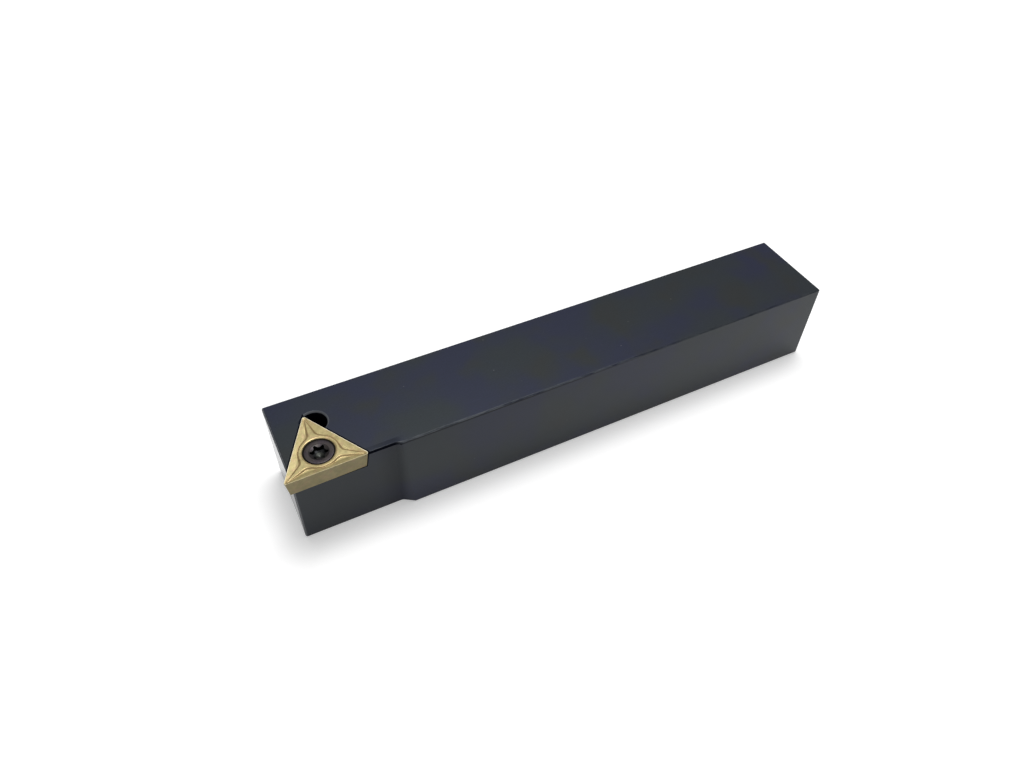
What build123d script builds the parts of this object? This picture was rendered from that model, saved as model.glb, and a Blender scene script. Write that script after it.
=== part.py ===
from build123d import *
from math import cos, hypot, radians, sin, sqrt, tan
import os

# A right-hand side-cutting turning tool: a square shank whose head carries a triangular
# insert, held down in a V-shaped pocket by one countersunk screw.
#
# Three pieces: tool_body, insert and clamp_screw. All sizes are in millimetres.
#
# Frame: the origin is under the middle of the tool, on the plane that the shank stands on.
# +X runs from the rear of the shank to the cutting corner, +Y points out of the side that
# the main cutting edge faces, and +Z points up, out of the rake face.

# --- Driving dimensions: shank -------------------------------------------------------

SHANK_WIDTH = 20.0
SHANK_HEIGHT = 20.0
OVERALL_LENGTH = 125.0  # rear face to the cutting corner
LONG_EDGE_CHAMFER = 0.3  # the edges along the shank and the head
REAR_EDGE_CHAMFER = 0.5  # the edges round the rear face

# --- Driving dimensions: insert ------------------------------------------------------

INSERT_CORNERS = 3
INSCRIBED_CIRCLE = 9.525  # diameter of the circle that touches the three cutting edges
INSERT_THICKNESS = 3.97
INSERT_CLEARANCE_ANGLE = 7.0  # how far the flanks lean in under the cutting edges
APPROACH_ANGLE = 91.0  # main cutting edge to the feed, so that its rear end is set in
NOSE_RADIUS = 0.4
NOSE_FOOT_RADIUS = 0.05  # each nose is a cone that comes nearly to a point at the seat
INSERT_HOLE_DIAMETER = 4.4
HOLE_MOUTH_DIAMETER = 6.25
HOLE_MOUTH_RADIUS = 0.5  # the rolled edge round the mouth
SCREW_CONE_ANGLE = 60.0  # included angle of the insert's countersink and the screw's head

# --- Driving dimensions: chip breaker ------------------------------------------------

LAND_WIDTH = 0.12  # flat strip behind each cutting edge
RAKE_ANGLE = 16.0  # fall of the groove from the land
GROOVE_DEPTH = 0.30
PLATEAU_DROP = 0.05  # top of the star below the cutting edge
PLATEAU_WALL_LEAN = 50.0  # lean of the star's wall away from upright
PLATEAU_RING_WIDTH = 0.6  # ring of the star round the mouth of the hole
ARM_ROOT_WIDTH = 1.5  # width of an arm of the star where it leaves the ring
ARM_TIP_WIDTH = 0.14
ARM_TIP_GAP = 0.75  # from the end of an arm to the nose
ARM_BLEND_RADIUS = 2.0  # hollow between the ring and an arm

# --- Driving dimensions: head of the tool body ---------------------------------------

HEAD_LENGTH = 21.1  # cutting corner back to the foot of the step
FLANK_SET_BACK = 0.14  # flank behind the foot of the nose
FRONT_SET_BACK = 0.54  # front face behind the foot of the nose
FLANK_ANGLE = 3.0  # lean of the flank under the cutting edge
STEP_ANGLE = 33.0  # slope from the shank's side down to the flank
STEP_RADIUS = 1.5  # hollow at the foot of that slope
FRONT_EDGE_CHAMFER = 0.35  # the edges round the front face

# --- Driving dimensions: insert pocket -----------------------------------------------

POCKET_CLEARANCE = 0.02  # between the insert's flanks and the pocket's walls
POCKET_EDGE_CHAMFER = 0.2  # along the top of the pocket's walls
POCKET_CORNER_FLAT = 0.8  # closes the V where the relief hole takes its corner away
RELIEF_HOLE_DIAMETER = 5.2  # drilled where the pocket's walls meet
RELIEF_HOLE_CORNER_GAP = 0.2  # from the hole's edge to the pocket's corner, along the rear wall
RELIEF_HOLE_FLOOR_DROP = 0.6  # its floor below the seat
RELIEF_HOLE_CHAMFER = 0.3

# --- Driving dimensions: clamp screw and its hole ------------------------------------

THREAD_DIAMETER = 4.0
THREAD_CLEARANCE = 0.05  # radial, between the screw's thread and the hole's wall
SCREW_LENGTH = 9.0
SCREW_HEAD_DIAMETER = 5.75
SCREW_HEAD_RIM = 0.18  # upright rim above the cone
SCREW_HEAD_CHAMFER = 0.12
CONE_CLEARANCE = 0.03  # radial, between the screw's cone and the countersink
SCREW_END_CHAMFER = 0.4
SOCKET_LOBES = 6
SOCKET_WIDTH = 3.35  # lobe to lobe
SOCKET_WAIST = 2.4  # hollow to hollow
SOCKET_RIB_RADIUS = 0.75  # the ribs between two lobes
SOCKET_LOBE_ROUND = 0.1
SOCKET_TURN = -14.0  # turn of the lobes from +X with the screw tight
SOCKET_DEPTH = 1.1
SOCKET_POINT_ANGLE = 130.0  # cone at the socket's floor
SOCKET_LEAD_DIAMETER = 3.8  # the cone that leads into the socket
SOCKET_LEAD_DEPTH = 0.2
TAPPED_HOLE_SPARE = 1.5  # full-width hole beyond the screw's end
TAPPED_HOLE_CHAMFER = 0.3
DRILL_POINT_ANGLE = 118.0

CUT_THROUGH = 1.0  # how far a cutting shape runs out of the surface it starts from
TOUCH = 0.001  # nearer than this, two points are the same place

# --- Worked out from the driving dimensions ------------------------------------------

SQRT3 = sqrt(3.0)

rear_x = -OVERALL_LENGTH / 2
tip_x = OVERALL_LENGTH / 2
shank_side_y = SHANK_WIDTH / 2
nose_y = shank_side_y  # the nose is in line with the side of the shank
top_z = SHANK_HEIGHT
seat_z = top_z - INSERT_THICKNESS

top_inradius = INSCRIBED_CIRCLE / 2
flank_lean = INSERT_THICKNESS * tan(radians(INSERT_CLEARANCE_ANGLE))
seat_inradius = top_inradius - flank_lean
inner_corner = -90.0  # on the insert's own plane, its inner corner points along -Y
insert_turn = radians(APPROACH_ANGLE - 90)
nose_direction = radians(30) + insert_turn


def nose_reach_x(inradius, nose_radius):
    """From the insert's middle to the foremost point of its nose."""
    return 2 * (inradius - nose_radius) * cos(nose_direction) + nose_radius


def nose_reach_y(inradius, nose_radius):
    """From the insert's middle to the outermost point of its nose."""
    return 2 * (inradius - nose_radius) * sin(nose_direction) + nose_radius


insert_x = tip_x - nose_reach_x(top_inradius, NOSE_RADIUS)
insert_y = nose_y - nose_reach_y(top_inradius, NOSE_RADIUS)
screw_axis = Axis((insert_x, insert_y, 0), (0, 0, 1))
screw_section = Plane(origin=(insert_x, insert_y, 0), x_dir=(1, 0, 0), z_dir=(0, -1, 0))

front_x = insert_x + nose_reach_x(seat_inradius, NOSE_FOOT_RADIUS) - FRONT_SET_BACK
flank_y_at_seat = insert_y + nose_reach_y(seat_inradius, NOSE_FOOT_RADIUS) - FLANK_SET_BACK
step_x = tip_x - HEAD_LENGTH

cone_slope = tan(radians(SCREW_CONE_ANGLE / 2))
plateau_z = top_z - PLATEAU_DROP
groove_z = top_z - GROOVE_DEPTH
thread_radius = THREAD_DIAMETER / 2 - THREAD_CLEARANCE
screw_head_radius = SCREW_HEAD_DIAMETER / 2
cone_top_z = plateau_z - (HOLE_MOUTH_DIAMETER / 2 - CONE_CLEARANCE - screw_head_radius) / cone_slope
cone_foot_z = cone_top_z - (screw_head_radius - thread_radius) / cone_slope
screw_top_z = cone_top_z + SCREW_HEAD_RIM
screw_end_z = screw_top_z - SCREW_LENGTH


def insert_plane(height):
    """The plane through the insert at one height, its X along the main cutting edge."""
    return Plane(
        origin=(insert_x, insert_y, height),
        x_dir=(cos(insert_turn), sin(insert_turn), 0),
        z_dir=(0, 0, 1),
    )


# --- Tool body -----------------------------------------------------------------------


def flank_relief(height):
    """Section, at one height, of the metal that is milled off the side of the head."""
    flank_y = flank_y_at_seat + (height - seat_z) * tan(radians(FLANK_ANGLE))
    slope = radians(STEP_ANGLE)
    outer_y = shank_side_y + CUT_THROUGH
    hollow_y = flank_y + STEP_RADIUS
    slope_foot = (step_x - STEP_RADIUS * sin(slope), hollow_y - STEP_RADIUS * cos(slope))
    hollow_middle = (step_x - STEP_RADIUS * sin(slope / 2), hollow_y - STEP_RADIUS * cos(slope / 2))
    slope_top = (slope_foot[0] - (outer_y - slope_foot[1]) / tan(slope), outer_y)
    with BuildSketch(Plane.XY.offset(height)) as section:
        with BuildLine():
            Line(slope_top, slope_foot)
            ThreePointArc(slope_foot, hollow_middle, (step_x, flank_y))
            Polyline(
                (step_x, flank_y),
                (front_x + CUT_THROUGH, flank_y),
                (front_x + CUT_THROUGH, outer_y),
                slope_top,
            )
        make_face()
    return section.sketch


def pocket_corner_y(height, gap):
    """Where the pocket's walls meet on the insert's plane, a gap outside the insert's flanks."""
    inradius = top_inradius - (top_z - height) * tan(radians(INSERT_CLEARANCE_ANGLE))
    return -2 * (inradius + gap)


def pocket_section(height, gap):
    """The V of the pocket at one height, from the flat at its corner out past the head."""
    corner_y = pocket_corner_y(height, gap)
    wall_rise = top_inradius + 2 * CUT_THROUGH - corner_y
    wall_run = wall_rise / SQRT3
    flat_run = POCKET_CORNER_FLAT / 2
    flat_rise = flat_run * SQRT3
    with BuildSketch(insert_plane(height)) as section:
        with BuildLine():
            Polyline(
                (flat_run, corner_y + flat_rise),
                (wall_run, corner_y + wall_rise),
                (-wall_run, corner_y + wall_rise),
                (-flat_run, corner_y + flat_rise),
                close=True,
            )
        make_face()
    return section.sketch


with BuildPart() as tool_body:
    # the bar
    with BuildSketch(Plane.YZ.offset(rear_x)):
        Rectangle(SHANK_WIDTH, SHANK_HEIGHT, align=(Align.CENTER, Align.MIN))
    extrude(amount=front_x - rear_x)

    # the side of the head, set in and leaning under the cutting edge
    relief_sections = [flank_relief(-CUT_THROUGH), flank_relief(top_z + CUT_THROUGH)]
    loft(relief_sections, ruled=True, mode=Mode.SUBTRACT)

    # the broken edges: round both ends, then along the base and the top
    chamfer(tool_body.faces().sort_by(Axis.X)[0].edges(), REAR_EDGE_CHAMFER)
    chamfer(tool_body.faces().sort_by(Axis.X)[-1].edges(), FRONT_EDGE_CHAMFER)
    base_edges = tool_body.faces().sort_by(Axis.Z)[0].edges().filter_by(Axis.Y, reverse=True)
    top_edges = tool_body.faces().sort_by(Axis.Z)[-1].edges().filter_by(Axis.Y, reverse=True)
    chamfer(base_edges + top_edges, LONG_EDGE_CHAMFER)

    # the insert pocket, its walls leaning with the insert's flanks
    pocket_sections = [
        pocket_section(seat_z, POCKET_CLEARANCE),
        pocket_section(top_z + CUT_THROUGH, POCKET_CLEARANCE),
    ]
    loft(pocket_sections, ruled=True, mode=Mode.SUBTRACT)

    # the broken edge along the top of the pocket's walls
    edge_sections = [
        pocket_section(top_z - POCKET_EDGE_CHAMFER, POCKET_CLEARANCE),
        pocket_section(top_z, POCKET_CLEARANCE + POCKET_EDGE_CHAMFER),
    ]
    loft(edge_sections, ruled=True, mode=Mode.SUBTRACT)

    # the relief hole in the corner of the pocket
    relief_radius = RELIEF_HOLE_DIAMETER / 2
    set_back = relief_radius + RELIEF_HOLE_CORNER_GAP
    pocket_corner = pocket_corner_y(top_z, POCKET_CLEARANCE)
    relief_middle = insert_plane(0).from_local_coords(
        (-set_back / 2, pocket_corner + set_back * SQRT3 / 2, 0)
    )
    relief_section = Plane(origin=relief_middle, x_dir=(1, 0, 0), z_dir=(0, -1, 0))
    with BuildSketch(relief_section):
        with BuildLine():
            Polyline(
                (0, seat_z - RELIEF_HOLE_FLOOR_DROP),
                (relief_radius, seat_z - RELIEF_HOLE_FLOOR_DROP),
                (relief_radius, top_z - RELIEF_HOLE_CHAMFER),
                (relief_radius + RELIEF_HOLE_CHAMFER + CUT_THROUGH, top_z + CUT_THROUGH),
                (0, top_z + CUT_THROUGH),
                close=True,
            )
        make_face()
    revolve(axis=Axis(relief_middle, (0, 0, 1)), mode=Mode.SUBTRACT)

    # the blind tapped hole under the insert
    hole_radius = THREAD_DIAMETER / 2
    hole_floor_z = screw_end_z - TAPPED_HOLE_SPARE
    point_height = hole_radius / tan(radians(DRILL_POINT_ANGLE / 2))
    with BuildSketch(screw_section):
        with BuildLine():
            Polyline(
                (0, hole_floor_z - point_height),
                (hole_radius, hole_floor_z),
                (hole_radius, seat_z - TAPPED_HOLE_CHAMFER),
                (hole_radius + TAPPED_HOLE_CHAMFER, seat_z),
                (hole_radius + TAPPED_HOLE_CHAMFER, seat_z + CUT_THROUGH),
                (0, seat_z + CUT_THROUGH),
                close=True,
            )
        make_face()
    revolve(axis=screw_axis, mode=Mode.SUBTRACT)


# --- Insert --------------------------------------------------------------------------


def triangle_section(height, inradius, corner_radius):
    """A section of the insert at one height: a triangle with rounded corners."""
    with BuildSketch(insert_plane(height)) as section:
        triangle = RegularPolygon(inradius, INSERT_CORNERS, False, rotation=inner_corner)
        fillet(triangle.vertices(), corner_radius)
    return section.sketch


land_inradius = top_inradius - LAND_WIDTH
groove_inradius = land_inradius - GROOVE_DEPTH / tan(radians(RAKE_ANGLE))
groove_corner_radius = NOSE_RADIUS - LAND_WIDTH
plateau_radius = HOLE_MOUTH_DIAMETER / 2 + PLATEAU_RING_WIDTH
arm_root = HOLE_MOUTH_DIAMETER / 2
arm_reach = 2 * top_inradius - NOSE_RADIUS - ARM_TIP_GAP

# the star that stands in the groove: a ring round the hole with an arm to each corner
with BuildPart() as plateau:
    with BuildSketch(insert_plane(plateau_z)) as star:
        Circle(plateau_radius)
        with PolarLocations(0, INSERT_CORNERS, start_angle=inner_corner):
            Polygon(
                (0, ARM_ROOT_WIDTH / 2),
                (arm_root, ARM_ROOT_WIDTH / 2),
                (arm_reach, ARM_TIP_WIDTH / 2),
                (arm_reach, -ARM_TIP_WIDTH / 2),
                (arm_root, -ARM_ROOT_WIDTH / 2),
                (0, -ARM_ROOT_WIDTH / 2),
                align=None,
            )
        ring_corners = star.vertices().filter_by(
            lambda corner: abs(hypot(corner.X, corner.Y) - plateau_radius) < TOUCH
        )
        fillet(ring_corners, ARM_BLEND_RADIUS)
    extrude(amount=-(GROOVE_DEPTH - PLATEAU_DROP), taper=-PLATEAU_WALL_LEAN)

with BuildPart() as insert:
    # the plate, leaning in under its three cutting edges
    plate_sections = [
        triangle_section(top_z, top_inradius, NOSE_RADIUS),
        triangle_section(seat_z, seat_inradius, NOSE_FOOT_RADIUS),
    ]
    loft(plate_sections, ruled=True)

    # the chip breaker: a groove that falls away from the land, and the star that stands in it
    groove_sections = [
        triangle_section(top_z, land_inradius, groove_corner_radius),
        triangle_section(groove_z, groove_inradius, groove_corner_radius),
    ]
    loft(groove_sections, ruled=True, mode=Mode.SUBTRACT)
    add(plateau.part)

    # the countersunk hole, its mouth rolled into the top of the star
    insert_hole_radius = INSERT_HOLE_DIAMETER / 2
    mouth_radius = HOLE_MOUTH_DIAMETER / 2
    countersink_z = plateau_z - (mouth_radius - insert_hole_radius) / cone_slope
    with BuildSketch(screw_section):
        with BuildLine():
            FilletPolyline(
                (insert_hole_radius, countersink_z),
                (mouth_radius, plateau_z),
                (mouth_radius + HOLE_MOUTH_RADIUS, plateau_z),
                radius=HOLE_MOUTH_RADIUS,
            )
            Polyline(
                (mouth_radius + HOLE_MOUTH_RADIUS, plateau_z),
                (mouth_radius + HOLE_MOUTH_RADIUS, top_z + CUT_THROUGH),
                (0, top_z + CUT_THROUGH),
                (0, seat_z - CUT_THROUGH),
                (insert_hole_radius, seat_z - CUT_THROUGH),
                (insert_hole_radius, countersink_z),
            )
        make_face()
    revolve(axis=screw_axis, mode=Mode.SUBTRACT)


# --- Clamp screw ---------------------------------------------------------------------

with BuildPart() as clamp_screw:
    # the turned blank: head rim, cone, threaded length and broken end
    with BuildSketch(screw_section):
        with BuildLine():
            Polyline(
                (0, screw_end_z),
                (thread_radius - SCREW_END_CHAMFER, screw_end_z),
                (thread_radius, screw_end_z + SCREW_END_CHAMFER),
                (thread_radius, cone_foot_z),
                (screw_head_radius, cone_top_z),
                (screw_head_radius, screw_top_z - SCREW_HEAD_CHAMFER),
                (screw_head_radius - SCREW_HEAD_CHAMFER, screw_top_z),
                (0, screw_top_z),
                close=True,
            )
        make_face()
    revolve(axis=screw_axis)

    # the six-lobe socket
    with BuildSketch(Plane((insert_x, insert_y, screw_top_z))) as socket:
        Circle(SOCKET_WIDTH / 2)
        rib_centre = SOCKET_WAIST / 2 + SOCKET_RIB_RADIUS
        first_rib = SOCKET_TURN + 180 / SOCKET_LOBES
        with PolarLocations(rib_centre, SOCKET_LOBES, start_angle=first_rib):
            Circle(SOCKET_RIB_RADIUS, mode=Mode.SUBTRACT)
        fillet(socket.vertices(), SOCKET_LOBE_ROUND)
    extrude(amount=-SOCKET_DEPTH, mode=Mode.SUBTRACT)

    # the cones at the socket's mouth and floor
    waist_radius = SOCKET_WAIST / 2
    socket_floor_z = screw_top_z - SOCKET_DEPTH
    socket_point_z = socket_floor_z - waist_radius / tan(radians(SOCKET_POINT_ANGLE / 2))
    with BuildSketch(screw_section):
        with BuildLine():
            Polyline(
                (0, socket_point_z),
                (waist_radius, socket_floor_z),
                (waist_radius, screw_top_z - SOCKET_LEAD_DEPTH),
                (SOCKET_LEAD_DIAMETER / 2, screw_top_z),
                (0, screw_top_z),
                close=True,
            )
        make_face()
    revolve(axis=screw_axis, mode=Mode.SUBTRACT)


# --- Write each piece ----------------------------------------------------------------

os.makedirs("parts", exist_ok=True)

tool_body.part.label = "tool_body"
export_step(tool_body.part, "parts/tool_body.step")

insert.part.label = "insert"
export_step(insert.part, "parts/insert.step")

clamp_screw.part.label = "clamp_screw"
export_step(clamp_screw.part, "parts/clamp_screw.step")
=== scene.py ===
"""Looks of a side-cutting turning tool: its finishes, its fine forms, the light and the camera."""

import logging
import math
from dataclasses import dataclass, field, replace
from enum import Enum
from typing import Callable, Sequence

import bmesh
import bpy
from mathutils import Matrix, Vector


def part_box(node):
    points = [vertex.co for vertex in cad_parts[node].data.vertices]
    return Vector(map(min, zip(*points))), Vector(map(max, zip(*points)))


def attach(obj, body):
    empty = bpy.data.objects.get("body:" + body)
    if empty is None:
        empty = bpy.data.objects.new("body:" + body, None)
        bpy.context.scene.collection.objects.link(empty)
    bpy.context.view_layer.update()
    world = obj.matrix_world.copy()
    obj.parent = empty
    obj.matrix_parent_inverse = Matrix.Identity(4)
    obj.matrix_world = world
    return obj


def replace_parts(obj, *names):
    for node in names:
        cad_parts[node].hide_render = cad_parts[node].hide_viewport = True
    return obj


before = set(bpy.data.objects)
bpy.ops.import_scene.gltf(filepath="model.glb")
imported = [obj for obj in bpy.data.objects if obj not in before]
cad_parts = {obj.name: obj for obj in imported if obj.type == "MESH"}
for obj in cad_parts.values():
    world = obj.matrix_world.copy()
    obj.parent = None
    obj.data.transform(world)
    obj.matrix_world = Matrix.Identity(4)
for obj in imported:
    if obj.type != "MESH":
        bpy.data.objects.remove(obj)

LOG = logging.getLogger("turning_tool")
MM = 0.001
WHITE = (1.0, 1.0, 1.0, 1.0)
Colour = tuple[float, float, float]
Span = tuple[float, float]
Line = tuple[float, float]
Triple = tuple[float, float, float]
Socket = bpy.types.NodeSocket


class Zone(Enum):
    """Which finish a face of the insert takes."""

    RAKE = 0
    FLANK = 1
    HOLE = 2


class Cut(Enum):
    """Which finish a face of the screw's head takes."""

    FACE = 0
    SOCKET = 1
    FLOOR = 2


class Curve(Enum):
    """How a mask goes from nothing to full."""

    HARD = "LINEAR"
    SOFT = "SMOOTHSTEP"


@dataclass(frozen=True)
class Pattern:
    """Cloudy noise: turns a millimetre, finer layers and their strength, and how it lies.

    Its offset is in metres, and its stretch is a factor for each axis, of which a small one
    draws the pattern out along that axis.
    """

    turns: float
    detail: float = 3.0
    rough: float = 0.5
    offset: Triple = (0.0, 0.0, 0.0)
    stretch: Triple = (1.0, 1.0, 1.0)


# --- Small helpers -------------------------------------------------------------------


def direction(degrees: float) -> Vector:
    """A unit vector in the XY plane, turned by degrees from +X."""
    return Vector((math.cos(math.radians(degrees)), math.sin(math.radians(degrees)), 0.0))


def slope(degrees: float) -> float:
    """The tangent of an angle in degrees."""
    return math.tan(math.radians(degrees))


def soft_min(a: float, b: float, blend: float) -> float:
    """The lesser of a and b, with the crease between them rounded over blend."""
    h = max(blend - abs(a - b), 0.0) / blend
    return min(a, b) - h * h * blend / 4


def soft_max(a: float, b: float, blend: float) -> float:
    """The greater of a and b, with the crease between them rounded over blend."""
    return -soft_min(-a, -b, blend)


def smooth_step(t: float) -> float:
    """0 below 0, 1 above 1 and an even curve between."""
    t = min(max(t, 0.0), 1.0)
    return t * t * (3 - 2 * t)


def add_object(name: str, data: bpy.types.ID) -> bpy.types.Object:
    """Puts data into the scene as an object at the origin.

    Args:
        name: the object's name.
        data: its mesh, lamp or camera.

    Returns:
        The new object.
    """
    new = bpy.data.objects.new(name, data)
    bpy.context.scene.collection.objects.link(new)
    return new


class NodeGraph:
    """Nodes of a material, world or geometry tree, added by short calls that return sockets."""

    def __init__(self, tree: bpy.types.NodeTree) -> None:
        """Starts on a node tree."""
        self.tree = tree

    def node(self, kind: str, **settings: object) -> bpy.types.Node:
        """Adds a node and sets its own settings.

        Args:
            kind: Blender's name of the node type.
            settings: properties of the node, by name.

        Returns:
            The new node.
        """
        new = self.tree.nodes.new(kind)
        for name, value in settings.items():
            setattr(new, name, value)
        return new

    def put(self, target: Socket, value: object) -> None:
        """Links a socket to target, or sets target to a plain value.

        Args:
            target: the input to fill.
            value: a socket, a number or a colour.
        """
        if isinstance(value, bpy.types.NodeSocket):
            self.tree.links.new(value, target)
        elif isinstance(value, tuple) and len(value) == 3 and target.type == "RGBA":
            target.default_value = (*value, 1.0)
        else:
            target.default_value = value

    def compute(self, operation: str, *values: object, clamp: bool = False) -> Socket:
        """One step of arithmetic.

        Args:
            operation: Blender's name of the operation.
            values: sockets or numbers.
            clamp: keeps the result from 0 to 1.

        Returns:
            The result's socket.
        """
        node = self.node("ShaderNodeMath", operation=operation, use_clamp=clamp)
        for target, value in zip(node.inputs, values):
            self.put(target, value)
        return node.outputs[0]

    def chain(self, operation: str, first: object, *others: object) -> Socket:
        """The same operation over several values, from the first on.

        Args:
            operation: Blender's name of the operation.
            first: a socket or a number.
            others: more of them.

        Returns:
            The result's socket.
        """
        for other in others:
            first = self.compute(operation, first, other)
        return first

    def times(self, *values: object) -> Socket:
        """The product of values."""
        return self.chain("MULTIPLY", *values)

    def plus(self, *values: object) -> Socket:
        """The sum of values."""
        return self.chain("ADD", *values)

    def minus(self, a: object, b: object) -> Socket:
        """The difference of a and b."""
        return self.compute("SUBTRACT", a, b)

    def over(self, a: object, b: object) -> Socket:
        """The quotient of a and b."""
        return self.compute("DIVIDE", a, b)

    def greatest(self, *values: object) -> Socket:
        """The greatest of values."""
        return self.chain("MAXIMUM", *values)

    def least(self, *values: object) -> Socket:
        """The least of values."""
        return self.chain("MINIMUM", *values)

    def line(self, value: object, rise: object, start: object) -> Socket:
        """A value times rise, plus start."""
        return self.compute("MULTIPLY_ADD", value, rise, start)

    def length(self, *values: object) -> Socket:
        """The length of a vector, given by its parts."""
        return self.compute("SQRT", self.plus(*(self.compute("POWER", v, 2.0) for v in values)))

    def ramp(self, value: object, low: float, high: float, curve: Curve = Curve.SOFT) -> Socket:
        """A mask that goes from 0 to 1 with a value.

        Args:
            value: what the mask follows.
            low: where the mask is 0.
            high: where the mask is 1; it may be less than low.
            curve: how the mask goes from one to the other.

        Returns:
            The mask's socket.
        """
        node = self.node("ShaderNodeMapRange", interpolation_type=curve.value)
        for name, given in (("Value", value), ("From Min", low), ("From Max", high)):
            self.put(node.inputs[name], given)
        return node.outputs["Result"]

    def band(self, value: object, middle: float, outer: float, inner: float) -> Socket:
        """A mask that is 1 within inner of the middle and 0 beyond outer."""
        return self.ramp(self.compute("ABSOLUTE", self.minus(value, middle)), outer, inner)

    def blend(self, factor: object, a: object, b: object, how: str = "MIX") -> Socket:
        """A colour that goes from a to b.

        Args:
            factor: how far it goes, from 0 to 1.
            a: a colour or a socket.
            b: a colour, a number or a socket.
            how: Blender's name of the way b is laid over a.

        Returns:
            The colour's socket.
        """
        node = self.node("ShaderNodeMix", data_type="RGBA", blend_type=how)
        for index, given in ((0, factor), (6, a), (7, b)):
            self.put(node.inputs[index], given)
        return node.outputs[2]

    def noise(self, pattern: Pattern, at: Socket | None = None) -> Socket:
        """Cloudy noise from 0 to 1.

        Args:
            pattern: its sizes.
            at: coordinates in millimetres; the pattern's own where this is left out.

        Returns:
            The noise's socket.
        """
        if at is None:
            at = self.millimetres(Vector(pattern.offset), pattern.stretch)
        node = self.node("ShaderNodeTexNoise")
        node.inputs["Scale"].default_value = pattern.turns
        node.inputs["Detail"].default_value = pattern.detail
        node.inputs["Roughness"].default_value = pattern.rough
        self.put(node.inputs["Vector"], at)
        return node.outputs["Fac"]

    def millimetres(self, centre: Vector = Vector(), stretch: Sequence[float] = (1, 1, 1)) -> Socket:
        """Object coordinates in millimetres from a centre.

        Args:
            centre: the point that becomes the origin, in metres.
            stretch: a factor for each axis; a small one draws a pattern out along it.

        Returns:
            The coordinates' socket.
        """
        mapping = self.node("ShaderNodeMapping")
        scale = Vector(stretch) / MM
        mapping.inputs["Scale"].default_value = scale
        mapping.inputs["Location"].default_value = [-c * s for c, s in zip(centre, scale)]
        coordinates = self.node("ShaderNodeTexCoord")
        self.put(mapping.inputs["Vector"], coordinates.outputs["Object"])
        return mapping.outputs["Vector"]

    def split(self, vector: Socket) -> tuple[Socket, Socket, Socket]:
        """The X, Y and Z of a vector.

        Args:
            vector: the vector's socket.

        Returns:
            A socket for each.
        """
        node = self.node("ShaderNodeSeparateXYZ")
        self.put(node.inputs[0], vector)
        return node.outputs[0], node.outputs[1], node.outputs[2]

    def mark(self, name: str) -> Socket:
        """A number that the mesh carries at its points, by name."""
        node = self.node("ShaderNodeAttribute", attribute_type="GEOMETRY", attribute_name=name)
        return node.outputs["Fac"]

    def bump(self, height: Socket, depth: float, strength: float = 1.0) -> Socket:
        """A normal bent by a height.

        Args:
            height: the height's socket, from 0 to 1.
            depth: the height's full swing, in millimetres.
            strength: how much of the bend is kept.

        Returns:
            The normal's socket.
        """
        node = self.node("ShaderNodeBump")
        node.inputs["Strength"].default_value = strength
        node.inputs["Distance"].default_value = depth * MM
        self.put(node.inputs["Height"], height)
        return node.outputs["Normal"]


# --- Finishes ------------------------------------------------------------------------


@dataclass(frozen=True)
class Finish:
    """What every finish has: a name.

    Sizes are in millimetres. A span gives where a mask is nothing and where it is full, and a
    line gives a rise and a start.
    """

    name: str

    def start(self) -> tuple[bpy.types.Material, NodeGraph, bpy.types.Node]:
        """An empty material.

        Returns:
            The material, its graph and its surface shader.
        """
        material = bpy.data.materials.new(self.name)
        material.use_nodes = True
        graph = NodeGraph(material.node_tree)
        return material, graph, material.node_tree.nodes["Principled BSDF"]


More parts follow.
